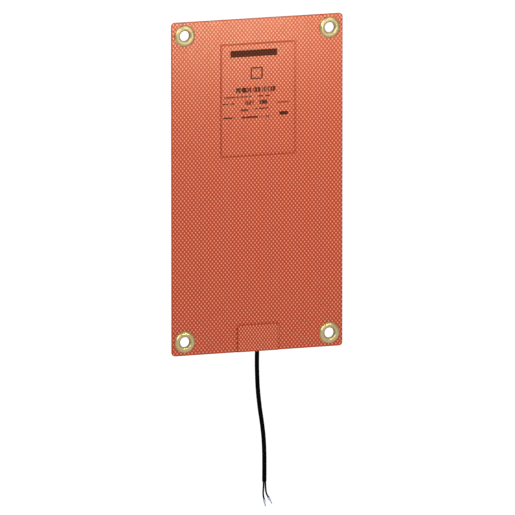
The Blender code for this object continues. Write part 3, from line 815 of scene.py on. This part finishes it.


# Eyelets and washers
# Each corner has an eyelet pressed from sheet brass and lacquered: a domed flange with a rubbed
# crest, a funnel, and a dull barrel whose end is curled over a dished washer on the wall side.
# The crest is painted lighter, a painted highlight; the funnel and the rim are painted darker and
# the barrel dark and dull, all painted shade.

EYELET_WALL = 0.0005
FLANGE_RADIUS = 0.0120
BORE_RADIUS = 0.0057
DOME_RISE = 0.0020
CLOTH_GAP = 0.00005
WASHER_GAP = 0.00002
WASHER_WALL = 0.0005
RIM = FLANGE_RADIUS - EYELET_WALL / 2
CREST_RADIUS = 0.0084
THROAT = BORE_RADIUS + EYELET_WALL / 2
THROAT_HEIGHT = -MAT_FRONT_Y
RIM_HEIGHT = -MAT_FRONT_Y + CLOTH_GAP + EYELET_WALL / 3
CREST_TOP = -MAT_FRONT_Y + DOME_RISE - EYELET_WALL / 2
LIP_HEIGHT = -WASHER_GAP - WASHER_WALL - CLOTH_GAP - EYELET_WALL / 2
LIP_RADIUS = 0.0009
END_ROUNDING = 0.00003
WASHER_SECTION = [
    (0.00645, -0.00002), (0.01180, -0.00002), (0.01194, -0.00008), (0.01200, -0.00022),
    (0.01200, -0.00062), (0.01194, -0.00076), (0.01180, -0.00082), (0.00862, -0.00082),
    (0.00852, -0.00078), (0.00836, -0.00056), (0.00826, -0.00052), (0.00645, -0.00052),
]
RING_STEPS = 96
# The shaded and the lit brass of the painted highlight and shade.
BRASS_SHADED = (0.240, 0.170, 0.056)
BRASS_LIT = (0.335, 0.268, 0.118)
BRASS_BORE_SHADE = (0.360, 0.300, 0.160)


def arc(count, middle, reach, first, last):
    """Points on part of an ellipse, from one angle to another in degrees."""
    points = []
    for step in range(count + 1):
        angle = math.radians(first + (last - first) * step / count)
        points.append(Vector((
            middle[0] + reach[0] * math.cos(angle), middle[1] + reach[1] * math.sin(angle),
        )))
    return points


def pressed_section():
    """The section of the sheet brass: its two faces and rounded ends, as radius and height."""
    reach = RIM - CREST_RADIUS
    drop = CREST_TOP - RIM_HEIGHT
    round_of = (reach ** 2 + drop ** 2) / (2 * drop)
    edge_angle = math.degrees(math.acos(reach / round_of))
    funnel = (CREST_RADIUS - THROAT, CREST_TOP - THROAT_HEIGHT)
    line = arc(14, (CREST_RADIUS, CREST_TOP - round_of), (round_of, round_of), edge_angle, 90)
    line += arc(16, (CREST_RADIUS, THROAT_HEIGHT), funnel, 90, 180)[1:]
    line += arc(16, (THROAT + LIP_RADIUS, LIP_HEIGHT), (LIP_RADIUS, LIP_RADIUS), 180, 360)
    outer, inner = [], []
    for index, point in enumerate(line):
        along = (line[min(index + 1, len(line) - 1)] - line[max(index - 1, 0)]).normalized()
        side = Vector((along.y, -along.x)) * (EYELET_WALL / 2)
        outer.append(point + side)
        inner.append(point - side)
    last_along = (line[-1] - line[-2]).normalized() * (EYELET_WALL / 3)
    first_along = (line[0] - line[1]).normalized() * END_ROUNDING
    return outer + [line[-1] + last_along] + inner[::-1] + [line[0] + first_along]


brass, shader, at = new_finish(
    "lacquered_brass", Metallic=1.0, Coat_Weight=1.0, Coat_Roughness=0.24
)
ring = at.node("ShaderNodeAttribute", {"attribute_name": "ring"}, {}, "Vector")
turning = ring.grain(1.0, (1.5, 1.5, 3000.0), 1.0)
off_crest = at.node("ShaderNodeAttribute", {"attribute_name": "off_crest"}, {}, "Fac")
rubbed = 1.0 - abs(off_crest).step(0.0003, 0.0014)
# Painted highlight and shade: the brass is lightest on the crest and painted darker into the funnel
# and toward the rim.
crest_light_and_shade = 1.0 - (-off_crest).step(0.0004, 0.0020) - off_crest.step(0.0010, 0.0032)
tarnish = at.grain(260.0, detail=3.0)
feed(
    shader,
    Base_Color=(crest_light_and_shade - tarnish.step(0.4, 0.8) * 0.2).blend(BRASS_SHADED, BRASS_LIT),
    Roughness=0.22 + rubbed * 0.24 + turning * 0.04 + tarnish * 0.05,
    Normal=(turning * 0.5 + tarnish * 0.5).relief(0.000001),
)
# Painted shade inside the bore: a dull coat that is not metal and barely shines, so the barrel reads
# dark.
bore_shade_mask = (-off_crest).step(0.0019, 0.0024)
bore_shade_coat = {"Base Color": BRASS_BORE_SHADE, "Roughness": 0.7, "Specular IOR Level": 0.15}
lay_over(shader, at, [(bore_shade_mask, bore_shade_coat)])


def mark_ring(piece):
    """Keep each point's direction round the axis, its distance from it and from the crest."""
    piece.data.attributes.new("ring", "FLOAT_VECTOR", "POINT")
    piece.data.attributes.new("off_crest", "FLOAT", "POINT")
    marks = piece.data.attributes["ring"].data
    gaps = piece.data.attributes["off_crest"].data
    for vertex, mark, gap in zip(piece.data.vertices, marks, gaps):
        radius = math.hypot(vertex.co.x, vertex.co.y)
        mark.vector = (vertex.co.x / radius, vertex.co.y / radius, radius + vertex.co.z)
        gap.value = radius - CREST_RADIUS


shell = turned([tuple(point) for point in pressed_section()], RING_STEPS)
washer = turned(WASHER_SECTION, RING_STEPS)
for first, name in ((shell, "eyelet"), (washer, "washer")):
    mark_ring(first)
    first.rotation_euler = (math.pi / 2, 0.0, 0.0)
    finish_piece(first, name + "_brass", 40)
    wear(first, brass)
    for corner, (x, z) in EYELETS.items():
        work_on(first)
        bpy.ops.object.duplicate()
        copy = bpy.context.object
        copy.location = (x, 0.0, z)
        finish_piece(copy, name + "_brass_" + corner, 40)
        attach(copy, "root")
        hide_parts(name + "_" + corner)
    bpy.data.objects.remove(first)


# Rear cap
# A moulded silicone cap, bonded on with a flat flange, closes over the joints on the wall side.
# Its sides are drafted, its edges rounded, and the lead leaves through a round hole at the bottom.

CAP_BOND = 0.00002
CAP_SKIRT = 0.0008
CAP_FLANGE = 0.0030
CAP_WIDTH = 0.0219
CAP_HEIGHT = 0.0294
CAP_DEPTH = 0.0054
CAP_WALL = 0.0012
CAP_DRAFT = 0.0008
CAP_EDGE = 0.0014
CAP_RIM = 0.00018
CAP_LIFT = 0.0008
CAP_Z = MAT_BOTTOM_Z + CAP_LIFT + CAP_FLANGE + CAP_HEIGHT / 2
CAP_BORE_Z = MAT_BOTTOM_Z + 0.0030
CAP_BORE_LENGTH = 0.0080
CAP_DARK = (0.480, 0.070, 0.026)
CAP_PALE = (0.560, 0.098, 0.040)


def moulded_block(width, height, low_y, high_y, draft, rounding):
    """A block over the joints, narrower towards the wall, with all but its foot's edges round."""
    bpy.ops.mesh.primitive_cube_add(size=1.0, location=(LEAD_X, (low_y + high_y) / 2, CAP_Z))
    block = bpy.context.object
    block.scale = (width, high_y - low_y, height)
    work_on(block)
    bpy.ops.object.transform_apply(location=True, rotation=True, scale=True)
    work_on(block, "EDIT")
    choose(block, "faces", lambda at: at.y > high_y - NEAR)
    drawn_in = ((width - 2 * draft) / width, 1.0, (height - 2 * draft) / height)
    bpy.ops.transform.resize(value=drawn_in)
    choose(block, "edges", lambda at: at.y > low_y + NEAR)
    bpy.ops.mesh.bevel(offset=rounding, segments=6)
    bpy.ops.object.mode_set(mode="OBJECT")
    return block


def carve(piece, tool, operation):
    """Join a tool's volume to the piece, or cut it away, and throw the tool out."""
    boolean = piece.modifiers.new("carve", "BOOLEAN")
    boolean.operation = operation
    boolean.solver = "EXACT"
    boolean.object = tool
    work_on(piece)
    bpy.ops.object.modifier_apply(modifier="carve")
    bpy.data.objects.remove(tool)


flange_middle_y = CAP_BOND + CAP_SKIRT / 2
bpy.ops.mesh.primitive_cube_add(size=1.0, location=(LEAD_X, flange_middle_y, CAP_Z))
cap = bpy.context.object
cap.scale = (CAP_WIDTH + 2 * CAP_FLANGE, CAP_SKIRT, CAP_HEIGHT + 2 * CAP_FLANGE)
work_on(cap)
bpy.ops.object.transform_apply(location=True, rotation=True, scale=True)
work_on(cap, "EDIT")
choose(cap, "edges", lambda at: abs(at.y - flange_middle_y) < NEAR)
bpy.ops.mesh.bevel(offset=CAP_FLANGE, segments=8)
choose(cap, "faces", lambda at: at.y > CAP_SKIRT)
bpy.ops.mesh.bevel(offset=CAP_RIM, segments=2)
bpy.ops.object.mode_set(mode="OBJECT")

dome = moulded_block(CAP_WIDTH, CAP_HEIGHT, flange_middle_y, CAP_DEPTH, CAP_DRAFT, CAP_EDGE)
carve(cap, dome, "UNION")
room = moulded_block(
    CAP_WIDTH - 2 * CAP_WALL, CAP_HEIGHT - 2 * CAP_WALL, -PLY, CAP_DEPTH - CAP_WALL, CAP_DRAFT,
    CAP_EDGE - CAP_WALL / 2,
)
carve(cap, room, "DIFFERENCE")
bpy.ops.mesh.primitive_cylinder_add(
    vertices=48, radius=SLOT_HALF, depth=CAP_BORE_LENGTH, location=(LEAD_X, CABLE_Y, CAP_BORE_Z)
)
bore = bpy.context.object
carve(cap, bore, "DIFFERENCE")
work_on(cap, "EDIT")
bpy.ops.mesh.select_all(action="SELECT")
bpy.ops.mesh.remove_doubles(threshold=2 * MERGE_WITHIN)
bpy.ops.object.mode_set(mode="OBJECT")
finish_piece(cap, "joint_cap", 35)

cap_rubber, shader, at = new_finish("moulded_orange_rubber", IOR=1.43)
bloom = at.grain(700.0, detail=5.0)
feed(
    shader,
    Base_Color=bloom.step(0.3, 0.75).blend(CAP_DARK, CAP_PALE),
    Roughness=0.46 + bloom * 0.16,
    Normal=bloom.relief(0.00005),
)
wear(cap, cap_rubber)
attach(cap, "root")
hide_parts("lead_cap")


# Floor and light
# A plain white floor well below the hanging mat and an even white surround. A narrow strip stands
# in front of the mat's top, a card hangs over its top edge, and broad boxes stand at the front
# left, high at the front right, and behind for the wall side.

FLOOR_Z = -1.0
FLOOR_SIZE = 120.0
FLOOR_GLOW = 0.93
SURROUND_LIGHT = 0.15
PLAIN_WHITE = (1.0, 1.0, 1.0)
SOFT_BOXES = [
    # name, place, what it faces, width, height, watts, colour
    ("top_box", (0.205, -0.753, 0.108), (0.205, 0.0, 0.158), 0.24, 0.05, 1.58, (1.0, 0.95, 0.62)),
    ("head_box", (0.0, -0.10, 0.25), (0.0, 0.0, -0.05), 0.40, 0.12, 0.14, PLAIN_WHITE),
    ("left_box", (-1.62, -3.36, 1.35), (0.0, 0.0, 0.0), 2.00, 2.10, 60.0, PLAIN_WHITE),
    ("right_box", (1.30, -2.90, 2.40), (0.0, 0.0, 0.0), 1.60, 1.60, 15.0, PLAIN_WHITE),
    ("wall_box", (0.80, 1.90, 0.90), (0.0, 0.0, 0.0), 1.20, 1.20, 34.0, PLAIN_WHITE),
]


def seen_white(tree):
    """1 where the camera, metal or glass sees the surround, and 0 where it only sheds light."""
    path = Wire(tree, None).node("ShaderNodeLightPath", {}, {}, "Is Camera Ray")
    glossy = Wire(tree, path.socket.node.outputs["Is Glossy Ray"])
    passing = Wire(tree, path.socket.node.outputs["Is Transmission Ray"])
    return largest([path, glossy, passing])


bpy.ops.mesh.primitive_plane_add(size=FLOOR_SIZE, location=(0.0, 0.0, FLOOR_Z))
floor = bpy.context.object
floor.name = "floor"
floor_white = bpy.data.materials.new("white_floor")
floor_white.use_nodes = True
tree = floor_white.node_tree
seen = seen_white(tree)
lit = seen.node("ShaderNodeBsdfDiffuse", {}, {"Color": (0.80, 0.80, 0.80)})
glow = seen.node("ShaderNodeEmission", {}, {"Color": PLAIN_WHITE, "Strength": seen * FLOOR_GLOW})
both = seen.node("ShaderNodeAddShader", {}, {0: lit, 1: glow})
tree.nodes.remove(tree.nodes["Principled BSDF"])
tree.links.new(both.socket, tree.nodes["Material Output"].inputs["Surface"])
wear(floor, floor_white)

surround = bpy.data.worlds.new("white_surround")
bpy.context.scene.world = surround
surround.use_nodes = True
tree = surround.node_tree
background = tree.nodes["Background"]
background.inputs["Color"].default_value = (*PLAIN_WHITE, 1.0)
strength = SURROUND_LIGHT + seen_white(tree) * (1.0 - SURROUND_LIGHT)
tree.links.new(strength.socket, background.inputs["Strength"])

for name, place, faced, width, height, watts, colour in SOFT_BOXES:
    bpy.ops.object.light_add(type="AREA", location=place)
    box = bpy.context.object
    box.name = name
    box.data.shape = "RECTANGLE"
    box.data.size = width
    box.data.size_y = height
    box.data.energy = watts
    box.data.color = colour
    box.visible_camera = False
    box.rotation_euler = (Vector(faced) - Vector(place)).to_track_quat("-Z", "Y").to_euler()

bpy.context.scene.view_settings.view_transform = "Standard"
